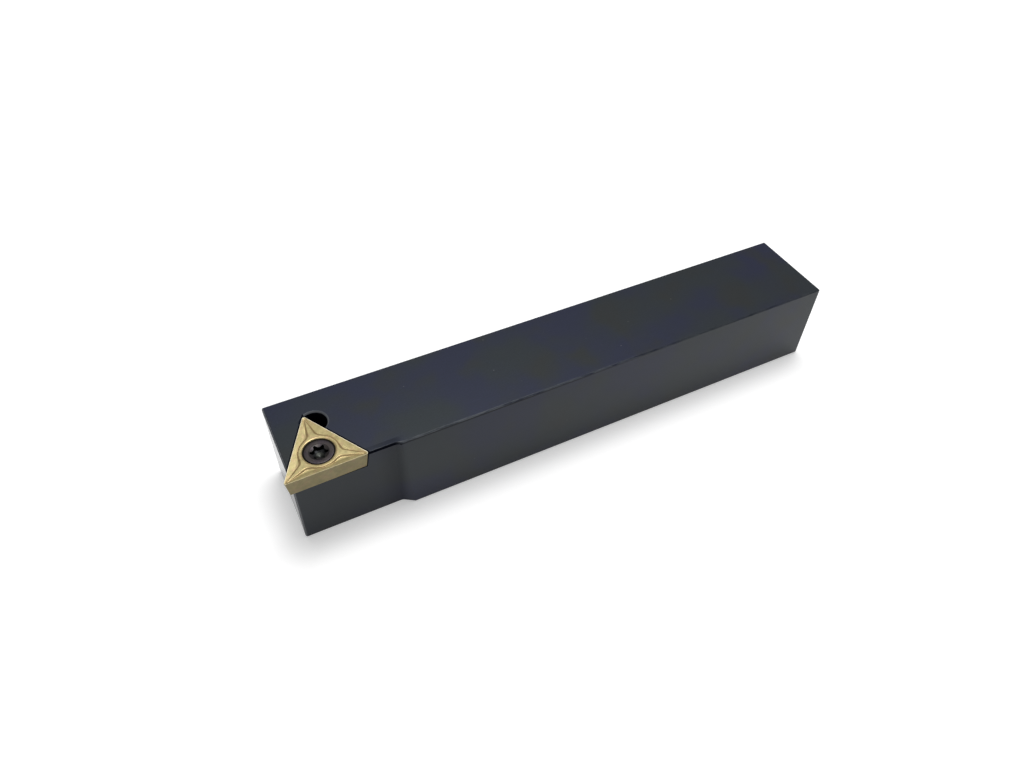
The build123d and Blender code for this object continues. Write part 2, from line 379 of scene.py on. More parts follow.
@dataclass(frozen=True)
class BlackOxide(Finish):
    """Ground steel under a satin black oxide, paler along its broken edges partly as wear and partly
    as painted highlight, with painted shade on its set-in flank, under its top edge and in its
    hollows.
    """

    low: Vector
    high: Vector
    plate: Vector
    plate_inradius: float
    plate_turn: float
    hole: tuple[float, float] = (53.346, -2.057)
    hole_radius: float = 2.6
    hole_break: float = 0.3
    hole_rim_half: Span = (0.2, 0.12)
    hole_rim_past: float = 0.4
    hole_shade: Span = (0.3, 0.5)
    head: Span = (39.6, 41.4)
    flank: Span = (8.2, 8.4)
    flank_at_seat: float = 9.37
    flank_lean: float = 3.0
    # How much painted shade darkens the set-in flank of the head.
    flank_painted_shade: float = 0.35
    seat_height: float = 16.03
    step_corner: Span = (39.0, 41.0)
    past_corner: Span = (46.0, 41.5)
    top_face: Span = (0.4, 0.3)
    front_face: Span = (0.5, 0.3)
    near_face: Span = (0.2, 0.1)
    near_head: Span = (-30.0, 20.0)
    broken: float = 0.3
    broken_fade: float = 0.06
    rubbed_where: Span = (0.30, 0.62)
    rubbed_along: Line = (0.65, 0.35)
    chip_edge: Span = (0.12, 0.02)
    chipped_where: Span = (0.60, 0.74)
    chipped_share: float = 0.6
    # Painted shade: how far below the top a dark line runs, and its half-width.
    shade_line_drop: float = 0.46
    shade_line_half: Span = (0.22, 0.08)
    # The lip of the flank and the gap beside the insert are painted shade.
    lip: Span = (0.62, 0.5)
    lip_top: Span = (0.04, 0.1)
    gap: Span = (0.3, 0.2)
    gap_by_hole: Span = (0.0, 0.2)
    speck_turns: float = 0.55
    speck_chosen: Span = (0.90, 0.93)
    speck_size: Span = (0.09, 0.04)
    speck_share: float = 0.35
    clouds: Pattern = Pattern(0.060, 2.0)
    cloud_where: Span = (0.36, 0.60)
    drift: Pattern = Pattern(0.10, 2.0, offset=(0.3, 0.1, 0.2))
    drift_where: Span = (0.48, 0.74)
    grain: Pattern = Pattern(3.2, 4.0, 0.62)
    grain_tone: Line = (1.1, 0.45)
    grain_height: float = 0.6
    streaks: Pattern = Pattern(5.5, 3.0, 0.6, stretch=(0.05, 1.0, 1.0))
    streak_tone: Line = (0.5, 0.75)
    streak_height: float = 0.5
    rub: Pattern = Pattern(2.3, 4.0, 0.7, stretch=(0.12, 1.0, 1.0))
    slate: Colour = (0.0080, 0.0110, 0.0150)
    navy: Colour = (0.0058, 0.0072, 0.0265)
    umber: Colour = (0.0095, 0.0103, 0.0108)
    # The pale tint of worn edges and the hole's rim: partly wear, partly painted highlight.
    rubbed_and_highlight: Colour = (0.085, 0.091, 0.102)
    bare: Colour = (0.16, 0.165, 0.17)
    # scale: the dark tint of painted shade, laid on the set-in flank, the line under the top edge,
    # the hole's wall, the lip and the gap.
    scale: Colour = (0.0033, 0.0040, 0.0075)
    tint: Colour = (0.86, 0.95, 0.98)
    ior: float = 1.40
    shine: float = 0.435
    # Lower specular levels that paint shade: at the step's corner, on the flank, on the dark line and
    # in the shaded places.
    corner_shade_shine: float = -0.10
    flank_shade_shine: float = -0.08
    shade_line_shine: float = -0.25
    painted_shade_shine: float = -0.4
    roughness: Line = (0.16, 0.30)
    front_roughness: float = -0.22
    relief: float = 0.010
    relief_share: float = 0.5

    def build(self) -> bpy.types.Material:
        """The material.

        Returns:
            A material that reads object coordinates.
        """
        material, g, shader = self.start()
        at = g.millimetres()
        x, y, z = g.split(at)
        grain = g.noise(self.grain)
        streaks = g.noise(self.streaks)
        nearer = g.ramp(x, *self.near_head)
        on_side = g.ramp(y, *self.flank)
        on_flank = g.times(g.ramp(x, *self.head), on_side)
        line = self.near_shade_line(g, y, z, nearer)
        painted_shade = self.painted_shade(g, (x, y, z), on_flank)

        colour = self.ground(g, grain, streaks)
        # Painted shade: the set-in flank is darkened towards the dark tint.
        colour = g.blend(g.times(on_flank, self.flank_painted_shade), colour, self.scale)
        # Painted shade: a dark line under the long top edge, stronger towards the head.
        colour = g.blend(line, colour, self.scale)
        rub = g.noise(self.rub)
        edge = self.edge_distance(g, x, y, z)
        # Paler broken edges and hole rim: partly wear, partly painted highlight, stronger towards the
        # head.
        worn_and_highlight = g.ramp(edge, self.broken + self.broken_fade, self.broken - self.broken_fade)
        worn_and_highlight = g.times(worn_and_highlight, g.ramp(rub, *self.rubbed_where), g.line(nearer, *self.rubbed_along))
        colour = g.blend(g.greatest(worn_and_highlight, self.hole_rim(g, x, y, z)), colour, self.rubbed_and_highlight)
        chipped = g.times(g.ramp(edge, *self.chip_edge), g.ramp(rub, *self.chipped_where))
        chipped = g.greatest(g.times(chipped, self.chipped_share), self.specks(g, at))
        colour = g.blend(chipped, colour, self.bare)
        # Painted shade over all: the hole's wall, the flank's lip and the gap beside the insert.
        g.put(shader.inputs["Base Color"], g.blend(painted_shade, colour, self.scale))

        # Painted shade in the specular level: lower at the step's corner, on the flank, on the dark
        # line and in the shaded places.
        corner = g.times(g.ramp(x, *self.step_corner), g.ramp(x, *self.past_corner), on_side)
        shine = g.line(corner, self.corner_shade_shine, self.shine)
        shine = g.line(on_flank, self.flank_shade_shine, shine)
        shine = g.line(line, self.shade_line_shine, shine)
        shine = g.compute("MULTIPLY_ADD", painted_shade, self.painted_shade_shine, shine, clamp=True)
        g.put(shader.inputs["Specular IOR Level"], shine)
        shader.inputs["IOR"].default_value = self.ior
        shader.inputs["Specular Tint"].default_value = (*self.tint, 1.0)
        on_front = g.ramp(x, self.high.x - self.front_face[0], self.high.x - self.front_face[1])
        rough = g.line(on_front, self.front_roughness, g.line(grain, *self.roughness))
        g.put(shader.inputs["Roughness"], rough)
        relief = g.plus(g.times(grain, self.grain_height), g.times(streaks, self.streak_height))
        g.put(shader.inputs["Normal"], g.bump(relief, self.relief, self.relief_share))
        return material

    def ground(self, g: NodeGraph, grain: Socket, streaks: Socket) -> Socket:
        """The oxide away from edges, with its clouds, grain and grinding streaks.

        Args:
            g: the material's graph.
            grain: fine noise.
            streaks: noise drawn out along the bar.

        Returns:
            The colour's socket.
        """
        tint = g.blend(g.ramp(g.noise(self.clouds), *self.cloud_where), self.navy, self.slate)
        tint = g.blend(g.ramp(g.noise(self.drift), *self.drift_where), tint, self.umber)
        tone = g.times(g.line(grain, *self.grain_tone), g.line(streaks, *self.streak_tone))
        return g.blend(1.0, tint, tone, "MULTIPLY")

    def below_top(self, g: NodeGraph, z: Socket, span: Span) -> Socket:
        """A mask by how far a point is below the top face."""
        return g.ramp(z, self.high.z - span[0], self.high.z - span[1])

    def near_shade_line(self, g: NodeGraph, y: Socket, z: Socket, nearer: Socket) -> Socket:
        """A mask of painted shade: the dark line under the long top edge beside the cutting edge.

        Args:
            g: the material's graph.
            y: the point's Y in millimetres.
            z: its Z.
            nearer: a mask that grows towards the head.

        Returns:
            The mask's socket.
        """
        line = g.times(g.band(z, self.high.z - self.shade_line_drop, *self.shade_line_half), nearer)
        outer, inner = self.near_face
        return g.times(line, g.ramp(y, self.high.y - outer, self.high.y - inner))

    def painted_shade(self, g: NodeGraph, point: Sequence[Socket], on_flank: Socket) -> Socket:
        """A mask of painted shade: the hole's wall, the lip of the flank and the gap beside the
        insert.

        Args:
            g: the material's graph.
            point: the point's X, Y and Z in millimetres.
            on_flank: a mask of the set-in side of the head.

        Returns:
            The mask's socket.
        """
        x, y, z = point
        away = self.hole_distance(g, x, y)
        inside = g.times(g.ramp(away, *self.gap), self.below_top(g, z, self.hole_shade))
        lip = g.times(self.below_top(g, z, self.lip), on_flank, self.below_top(g, z, self.lip_top))
        sides = []
        for degrees in InsertPlate.SIDES:
            out = direction(degrees + self.plate_turn)
            side = g.line(x, out.x, -self.plate.dot(out) - self.plate_inradius)
            sides.append(g.line(y, out.y, side))
        beside = g.times(g.ramp(g.greatest(*sides), *self.gap), g.ramp(away, *self.gap_by_hole))
        return g.greatest(inside, lip, g.times(beside, self.below_top(g, z, self.top_face)))

    def hole_rim(self, g: NodeGraph, x: Socket, y: Socket, z: Socket) -> Socket:
        """A mask of the relief hole's broken edge, where it lies behind the insert; it is painted
        paler, partly as wear and partly as painted highlight.

        Args:
            g: the material's graph.
            x: the point's X in millimetres.
            y: its Y.
            z: its Z.

        Returns:
            The mask's socket.
        """
        rim = g.band(self.hole_distance(g, x, y), self.hole_break / 2, *self.hole_rim_half)
        behind = g.ramp(x, self.plate.x + self.hole_rim_past, self.plate.x)
        return g.times(rim, self.below_top(g, z, self.top_face), behind)

    def hole_distance(self, g: NodeGraph, x: Socket, y: Socket) -> Socket:
        """How far a point is outside the wall of the relief hole."""
        return g.minus(g.length(g.minus(x, self.hole[0]), g.minus(y, self.hole[1])), self.hole_radius)

    def edge_distance(self, g: NodeGraph, x: Socket, y: Socket, z: Socket) -> Socket:
        """How far a point is from the nearest outer edge of the bar.

        Args:
            g: the material's graph.
            x: the point's X in millimetres.
            y: its Y.
            z: its Z.

        Returns:
            The distance's socket.
        """
        width, height = self.high.y, self.high.z
        flank = g.line(g.minus(z, self.seat_height), slope(self.flank_lean), self.flank_at_seat)
        side = g.line(g.minus(flank, width), g.ramp(x, *self.head, Curve.HARD), width)
        across = g.least(g.minus(side, y), g.plus(y, width))
        up = g.least(z, g.minus(height, z))
        along = g.least(g.minus(x, self.low.x), g.minus(self.high.x, x))
        return g.least(g.greatest(across, up), g.greatest(up, along), g.greatest(along, across))

    def specks(self, g: NodeGraph, at: Socket) -> Socket:
        """A mask of sparse pale specks where the oxide is chipped.

        Args:
            g: the material's graph.
            at: coordinates in millimetres.

        Returns:
            The mask's socket.
        """
        cells = g.node("ShaderNodeTexVoronoi", feature="F1")
        cells.inputs["Scale"].default_value = self.speck_turns
        g.put(cells.inputs["Vector"], at)
        chosen = g.node("ShaderNodeSeparateColor")
        g.put(chosen.inputs[0], cells.outputs["Color"])
        few = g.ramp(chosen.outputs[0], *self.speck_chosen)
        return g.times(few, g.ramp(cells.outputs["Distance"], *self.speck_size), self.speck_share)


@dataclass(frozen=True)
class GoldCoating(Finish):
    """Pressed carbide under a satin gold-coloured coating, paler on the lands partly as painted
    highlight, with painted shade on the star's walls and the hole's roll.
    """

    light: Colour = (0.43, 0.362, 0.168)
    deep: Colour = (0.36, 0.302, 0.132)
    rose: Colour = (0.43, 0.310, 0.165)
    # The brown tint of painted shade on the star's walls and the hole's roll.
    wall: Colour = (0.285, 0.190, 0.082)
    # The pale tint of the lands: partly their own finish, partly painted highlight.
    edge: Colour = (0.66, 0.60, 0.47)
    wall_share: float = 0.7
    edge_share: float = 0.85
    clouds: Pattern = Pattern(0.45)
    cloud_where: Span = (0.35, 0.65)
    blush: Pattern = Pattern(0.9, 3.0, 0.6, offset=(0.2, 0.4, 0.1))
    blush_where: Span = (0.5, 0.68)
    blush_share: float = 0.8
    grain: Pattern = Pattern(6.0, 5.0, 0.7)
    grain_tone: Line = (0.45, 0.775)
    grain_depth: float = 0.006
    grain_share: float = 0.8
    mottle: Pattern = Pattern(1.3, 3.0, 0.6)
    mottle_tone: Line = (0.70, 0.65)
    mottle_roughness: float = 0.18
    roughness: float = 0.36
    shaded_roughness: float = 0.5
    metallic: float = 0.5

    def shaded(self, share: float, name: str) -> "GoldCoating":
        """The same coating where less light comes in.

        Args:
            share: what is left of all its tints.
            name: the new finish's name.

        Returns:
            The darker and duller finish.
        """
        tints = ("light", "deep", "rose", "wall", "edge")
        darker = {t: tuple(c * share for c in getattr(self, t)) for t in tints}
        return replace(self, name=name, roughness=self.shaded_roughness, **darker)

    def build(self) -> bpy.types.Material:
        """The material.

        Returns:
            A material that reads object coordinates and the insert's own marks.
        """
        material, g, shader = self.start()
        grain = g.noise(self.grain)
        mottle = g.noise(self.mottle)
        tint = g.blend(g.ramp(g.noise(self.clouds), *self.cloud_where), self.deep, self.light)
        blush = g.times(g.ramp(g.noise(self.blush), *self.blush_where), self.blush_share)
        tint = g.blend(blush, tint, self.rose)
        # Painted shade: the star's walls and the roll into the hole take the darker wall tint.
        tint = g.blend(g.times(g.mark("wall"), self.wall_share), tint, self.wall)
        # Paler lands: partly their own finish, partly painted highlight.
        tint = g.blend(g.times(g.mark("land"), self.edge_share), tint, self.edge)
        shade = g.times(g.line(grain, *self.grain_tone), g.line(mottle, *self.mottle_tone))
        g.put(shader.inputs["Base Color"], g.blend(1.0, tint, shade, "MULTIPLY"))
        shader.inputs["Metallic"].default_value = self.metallic
        least = self.roughness - self.mottle_roughness / 2
        g.put(shader.inputs["Roughness"], g.line(mottle, self.mottle_roughness, least))
        g.put(shader.inputs["Normal"], g.bump(grain, self.grain_depth, self.grain_share))
        return material


@dataclass(frozen=True)
class TurnedOxide(Finish):
    """Turned and hardened steel with a brown oxide that runs to purple, with painted shade round its
    socket's lead and on its rim.
    """

    middle: Vector
    # Painted shade: darker round the edge of the lead, inside the lead and on the head's rim.
    lead: float = 1.9
    lead_half: Span = (0.12, 0.04)
    lead_shade: float = -0.45
    lead_in: Span = (0.05, -0.05)
    lead_in_shade: float = -0.4
    rim: Span = (2.70, 2.80)
    rim_shade: float = -0.7
    ring_turns: float = 48.0
    ring_height: float = 0.35
    relief: float = 0.004
    relief_share: float = 0.7
    grain: Pattern = Pattern(5.0, 4.0, 0.6)
    grain_tone: Line = (0.5, 0.75)
    clouds: Pattern = Pattern(0.7, 2.0)
    cloud_where: Span = (0.42, 0.6)
    roughness: Line = (0.16, 0.28)
    brown: Colour = (0.040, 0.034, 0.033)
    purple: Colour = (0.037, 0.030, 0.035)
    metallic: float = 0.85

    def plain(self, name: str, tint: Colour) -> "TurnedOxide":
        """The same finish in one tint."""
        return replace(self, name=name, brown=tint, purple=tint)

    def build(self) -> bpy.types.Material:
        """The material.

        Returns:
            A material whose fine rings run round the screw's axis.
        """
        material, g, shader = self.start()
        at = g.millimetres(Vector((self.middle.x, self.middle.y, 0.0)))
        x, y, z = g.split(at)
        radius = g.length(x, y)
        rings = g.compute("SINE", g.times(g.plus(radius, z), self.ring_turns))
        grain = g.noise(self.grain, at)
        clouds = g.ramp(g.noise(self.clouds, at), *self.cloud_where)
        tint = g.blend(clouds, self.brown, self.purple)
        # Painted shade: darker round the edge of the lead, inside it and on the outer rim.
        shade = g.times(
            g.line(grain, *self.grain_tone),
            g.line(g.band(radius, self.lead, *self.lead_half), self.lead_shade, 1.0),
            g.line(g.ramp(g.minus(radius, self.lead), *self.lead_in), self.lead_in_shade, 1.0),
            g.line(g.ramp(radius, *self.rim), self.rim_shade, 1.0),
        )
        g.put(shader.inputs["Base Color"], g.blend(1.0, tint, shade, "MULTIPLY"))
        shader.inputs["Metallic"].default_value = self.metallic
        g.put(shader.inputs["Roughness"], g.line(grain, *self.roughness))
        relief = g.plus(g.times(rings, self.ring_height), grain)
        g.put(shader.inputs["Normal"], g.bump(relief, self.relief, self.relief_share))
        return material


@dataclass(frozen=True)
class PaperFloor(Finish):
    """A white sheet that shows as plain white to the camera and still holds a shadow."""

    albedo: float = 0.80
    lift: float = 0.37
    far_lift: float = 0.6
    far: Span = (250.0, 1200.0)
    mirrored: float = 1.1
    roughness: float = 0.9

    def build(self) -> bpy.types.Material:
        """The material.

        Returns:
            A diffuse material with some of its own light for camera and glossy rays.
        """
        material, g, shader = self.start()
        shader.inputs["Base Color"].default_value = (self.albedo,) * 3 + (1.0,)
        shader.inputs["Roughness"].default_value = self.roughness
        shader.inputs["Specular IOR Level"].default_value = 0.0
        shader.inputs["Emission Color"].default_value = WHITE
        path = g.node("ShaderNodeLightPath").outputs
        mirrored = g.times(path["Is Glossy Ray"], self.mirrored)
        seen = g.greatest(path["Is Camera Ray"], path["Is Transmission Ray"], mirrored)
        away = g.length(*g.split(g.millimetres()))
        far = g.times(g.ramp(away, *self.far), self.far_lift)
        g.put(shader.inputs["Emission Strength"], g.times(seen, g.plus(far, self.lift)))
        return material


# --- Meshes laid up from rings -------------------------------------------------------


class RingMesh:
    """A skin laid up from rings of points, each ring with the same count."""

    SHARP = 32.0

    def __init__(self) -> None:
        """Starts with no rings."""
        self.rings: list[list[Vector]] = []
        self.zones: list[int] = []

    def add(self, points: Sequence[Vector], zone: Enum) -> None:
        """Adds a ring; the band that leads on from it takes its material by zone."""
        self.rings.append(list(points))
        self.zones.append(zone.value)

    def finish(
        self,
        name: str,
        finishes: Sequence[Finish],
        to_place: Matrix,
        closed: bool = False,
    ) -> bpy.types.Object:
        """Makes the object.

        Args:
            name: the piece's name.
            finishes: its finishes, in the order of the zones.
            to_place: takes the rings' millimetres to the piece's place in metres.
            closed: joins the last ring to the first; otherwise both ends are closed by a fan.

        Returns:
            The object, with its place in its mesh.
        """
        work = bmesh.new()
        rings = [[work.verts.new(p) for p in ring] for ring in self.rings]
        count = len(rings[0])
        steps = len(rings) if closed else len(rings) - 1
        for k in range(steps):
            a, b = rings[k], rings[(k + 1) % len(rings)]
            for i in range(count):
                j = (i + 1) % count
                work.faces.new((a[i], a[j], b[j], b[i])).material_index = self.zones[k]
        if not closed:
            for ring, zone in ((rings[0], self.zones[0]), (rings[-1], self.zones[-1])):
                middle = work.verts.new(sum((v.co for v in ring), Vector()) / count)
                for i in range(count):
                    work.faces.new((ring[i], ring[(i + 1) % count], middle)).material_index = zone
        bmesh.ops.recalc_face_normals(work, faces=work.faces)
        mesh = bpy.data.meshes.new(name)
        work.to_mesh(mesh)
        work.free()
        mesh.transform(to_place)
        for finish in finishes:
            mesh.materials.append(finish.build())
        mesh.shade_smooth()
        mesh.set_sharp_from_angle(angle=math.radians(self.SHARP))
        return add_object(name, mesh)


# --- Insert --------------------------------------------------------------------------


@dataclass
class InsertPlate:
    """The triangular insert, with its lands, groove, star and countersunk hole.

    It is laid out in millimetres with the middle of its top at the origin, one cutting edge
    along X and its corners at CORNERS.
    """

    CORNERS = (-90, 30, 150)
    SIDES = (90, 210, 330)

    inradius: float = 4.7625
    thickness: float = 3.97
    nose: float = 0.4
    nose_foot: float = 0.05
    clearance: float = 7.0
    turn: float = 1.0
    hone: float = 0.03
    hone_turns: tuple[float, ...] = (90.0, 50.0, 20.0)
    land: float = 0.12
    rake: float = 16.0
    groove: float = 0.30
    groove_corner: float = 0.28
    star_drop: float = 0.05
    star_ring: float = 3.725
    star_wall: float = 50.0
    arm_root_at: float = 3.125
    arm_root: float = 0.75
    arm_tip: float = 0.07
    arm_reach: float = 8.375
    arm_blend: float = 1.1
    crease: float = 0.05
    mouth: float = 3.125
    mouth_round: float = 0.5
    hole: float = 2.2
    hole_break: float = 0.05
    cone: float = 30.0
    foot_break: float = 0.04
    corner_points: int = 14
    edge_points: int = 130
    land_rings: int = 5
    top_rings: int = 76
    roll_rings: int = 8
    lit_roll_rings: int = 4
    top_finish: GoldCoating = GoldCoating("coated_rake_finish")
    # What is left of the coating's tints on the flanks and the hole's wall, which take painted shade.
    flank_shade_share: float = 0.54
    hole_shade_share: float = 0.07
    # The main cutting edge's land is painted less pale.
    main_land_share: float = 0.35
    land_fade: float = 0.06
    # Where the star's walls and the hole's roll take painted shade.
    wall_spread: float = 2.2
    wall_gain: float = 1.5
    wall_fade: float = 0.1
    roll_mark: float = 0.36
    roll_fade: float = 0.12
    roll_share: float = 0.6
    inward_share: float = 0.98
    ease_from: float = 0.15

    def place(self) -> Vector:
        """The middle of the insert's top, in metres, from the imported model."""
        reach = 2 * (self.inradius - self.nose) * direction(self.CORNERS[1] + self.turn)
        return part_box("insert")[1] - (reach + Vector((self.nose, self.nose, 0.0))) * MM

    def outline(self, reach: float, radius: float, depth: float) -> list[Vector]:
        """A rounded triangle.

        Args:
            reach: radius of the circle inside it.
            radius: radius of its corners.
            depth: how far it lies below the top.

        Returns:
            Its points, corner by corner, with as many on each side.
        """
        arcs: list[list[Vector]] = []
        step = 120 / self.corner_points
        for corner in self.CORNERS:
            centre = direction(corner) * 2 * (reach - radius)
            turns = [corner - 60 + step * i for i in range(self.corner_points + 1)]
            arcs.append([centre + direction(turn) * radius for turn in turns])
        points: list[Vector] = []
        for arc, following in zip(arcs, arcs[1:] + arcs[:1]):
            points += arc
            run = following[0] - arc[-1]
            points += [arc[-1] + run * i / self.edge_points for i in range(1, self.edge_points)]
        return [Vector((p.x, p.y, -depth)) for p in points]

    def top_outline(self, inset: float, depth: float = 0.0) -> list[Vector]:
        """The outline of the top, an inset inside the cutting edges."""
        radius = max(self.nose - inset, self.groove_corner)
        return self.outline(self.inradius - inset, radius, depth)

    def flank_outline(self, depth: float, inset: float = 0.0) -> list[Vector]:
        """The outline of the flanks, which lean in and whose noses are cones.

        Args:
            depth: how far below the top.
            inset: how far inside the flanks.

        Returns:
            The outline's points.
        """
        reach = self.inradius - depth * slope(self.clearance)
        radius = self.nose + (self.nose_foot - self.nose) * depth / self.thickness
        return self.outline(reach - inset, radius, depth)

    def inside(self, p: Vector) -> float:
        """How far a point is inside the cutting edges.

        Args:
            p: the point, in the plate's millimetres.

        Returns:
            The distance, measured to the round of the nose at the corners.
        """
        axis = max((direction(a) for a in self.CORNERS), key=p.dot)
        across = abs(p.x * axis.y - p.y * axis.x)
        radius = self.groove_corner
        if across < radius * math.sin(math.radians(60)):
            return self.inradius - radius - (p.dot(axis) - math.sqrt(radius**2 - across**2)) / 2
        return self.inradius - max(p.dot(direction(a)) for a in self.SIDES)

    def star(self, p: Vector) -> float:
        """How far a point is outside the star.

        Args:
            p: the point, in the plate's millimetres.

        Returns:
            The distance from the ring with its three tapering arms.
        """
        away = p.length - self.star_ring
        taper = (self.arm_root - self.arm_tip) / (self.arm_reach - self.arm_root_at)
        for corner in self.CORNERS:
            axis = direction(corner)
            along = p.dot(axis)
            across = abs(p.x * axis.y - p.y * axis.x)
            half = self.arm_root - (along - self.arm_root_at) * taper
            arm = max((across - half) / math.hypot(1, taper), along - self.arm_reach, -along)
            away = soft_min(away, arm, self.arm_blend)
        return away

    def top_depth(self, p: Vector) -> float:
        """Depth of the chip breaker below the cutting edges.

        Args:
            p: the point, in the plate's millimetres.

        Returns:
            The depth of the groove or of the star, whichever stands higher.
        """
        fall = (self.inside(p) - self.land) * slope(self.rake)
        hollow = soft_max(soft_min(fall, self.groove, self.crease), 0.0, self.crease / 3)
        wall = self.star_drop + self.star(p) / slope(self.star_wall)
        raised = soft_max(wall, self.star_drop, self.crease)
        return soft_min(hollow, raised, self.crease)

    def circle(self, radius: float, depth: float) -> list[Vector]:
        """A ring whose points lie in the same directions as those of the cutting edge."""
        directions = [Vector((p.x, p.y, 0.0)).normalized() for p in self.top_outline(0.0)]
        return [d * radius + Vector((0, 0, -depth)) for d in directions]

    def lay_top(self, skin: RingMesh, roll_out: float) -> None:
        """Lays the rounded edge, the land, the groove and the star.

        Args:
            skin: the skin to add to.
            roll_out: radius at which the top starts to roll into the hole.
        """
        for angle in map(math.radians, self.hone_turns):
            inset = self.hone * (1 - math.sin(angle))
            skin.add(self.top_outline(inset, self.hone * (1 - math.cos(angle))), Zone.FLANK)
        goals = self.circle(roll_out, 0.0)
        for k in range(self.top_rings + 1):
            inset = self.hone + (self.land - self.hone) * min(k / self.land_rings, 1.0)
            inward = max(k - self.land_rings, 0) / (self.top_rings - self.land_rings)
            inset += inward * (self.inradius - self.land - roll_out) * self.inward_share
            blend = smooth_step((inward - self.ease_from) / (1 - self.ease_from))
            ring = [p.lerp(goal, blend) for p, goal in zip(self.top_outline(inset), goals)]
            skin.add([Vector((p.x, p.y, -self.top_depth(p))) for p in ring], Zone.RAKE)

    def lay_hole(self, skin: RingMesh, roll_out: float) -> None:
        """Lays the roll into the hole, its cone and its bore.

        Args:
            skin: the skin to add to.
            roll_out: radius at which the top starts to roll into the hole.
        """
        for k in range(1, self.roll_rings + 1):
            angle = math.radians(90 - self.cone) * k / self.roll_rings
            radius = roll_out - self.mouth_round * math.sin(angle)
            depth = self.star_drop + self.mouth_round * (1 - math.cos(angle))
            zone = Zone.RAKE if k <= self.lit_roll_rings else Zone.HOLE
            skin.add(self.circle(radius, depth), zone)
        cone_foot = self.star_drop + (self.mouth - self.hole) / slope(self.cone)
        skin.add(self.circle(self.hole, cone_foot), Zone.HOLE)
        skin.add(self.circle(self.hole, self.thickness - self.hole_break), Zone.FLANK)

    def lay_foot(self, skin: RingMesh) -> None:
        """Lays the flat underside and the flanks.

        Args:
            skin: the skin to add to.
        """
        bore = self.circle(self.hole + self.hole_break, self.thickness)
        rim = self.flank_outline(self.thickness, self.foot_break)
        for share in (0.0, 0.33, 0.66, 1.0):
            skin.add([a.lerp(b, share) for a, b in zip(bore, rim)], Zone.FLANK)
        foot = self.thickness - self.foot_break
        for depth in (foot, self.thickness * 0.66, self.thickness * 0.33, 0.1):
            skin.add(self.flank_outline(depth), Zone.FLANK)

    def set_marks(self, mesh: bpy.types.Mesh, to_plate: Matrix) -> None:
        """Marks the points of the lands, painted paler partly as highlight, and those of the star's
        walls and of the hole's roll, painted in shade.

        Args:
            mesh: the finished plate.
            to_plate: takes the mesh's metres to the plate's own millimetres.
        """
        land = mesh.attributes.new("land", "FLOAT", "POINT")
        wall = mesh.attributes.new("wall", "FLOAT", "POINT")
        spread = (self.groove - self.star_drop) * slope(self.star_wall) / 2
        for k, vertex in enumerate(mesh.vertices):
            p = to_plate @ vertex.co
            radius = math.hypot(p.x, p.y)
            if p.z < -self.groove - self.crease or radius < self.mouth:
                continue
            inside = self.inside(p)
            flat = smooth_step(1 + p.z / (self.hone * 0.3))
            on_land = smooth_step((self.land + self.land_fade - inside) / self.land_fade) * flat
            # Lands are painted paler, partly as highlight; those of the main cutting edge less so.
            by_main_edge = self.inradius - p.y - inside < self.hone / 3
            land.data[k].value = on_land * (self.main_land_share if by_main_edge else 1.0)
            # Painted shade on the star's walls and, at a share, on the roll into the hole.
            across = abs(self.star(p) - spread) / (spread * self.wall_spread)
            on_wall = smooth_step((1 - across) * self.wall_gain)
            on_wall *= smooth_step((inside - self.land) / self.wall_fade)
            on_roll = smooth_step((self.mouth + self.roll_mark - radius) / self.roll_fade)
            wall.data[k].value = max(on_wall, on_roll * self.roll_share)

    def build(self) -> list[bpy.types.Object]:
        """Lays up the plate, from the cutting edge in over the top, down the hole and round.

        Returns:
            The dressed insert, as one closed mesh.
        """
        skin = RingMesh()
        roll_out = self.mouth + self.mouth_round * slope((90 - self.cone) / 2)
        self.lay_top(skin, roll_out)
        self.lay_hole(skin, roll_out)
        self.lay_foot(skin)
        turned = Matrix.Rotation(math.radians(self.turn), 4, "Z") @ Matrix.Scale(MM, 4)
        to_place = Matrix.Translation(self.place()) @ turned
        # Lit and shaded copies of one coating: the flanks and the hole's wall take painted shade.
        flank = self.top_finish.shaded(self.flank_shade_share, "shaded_flank_finish")
        hole = self.top_finish.shaded(self.hole_shade_share, "shaded_hole_finish")
        plate = skin.finish("insert_plate", (self.top_finish, flank, hole), to_place, closed=True)
        self.set_marks(plate.data, to_place.inverted())
        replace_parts(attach(plate, "insert"), "insert")
        return [plate]


# --- Clamp screw ---------------------------------------------------------------------


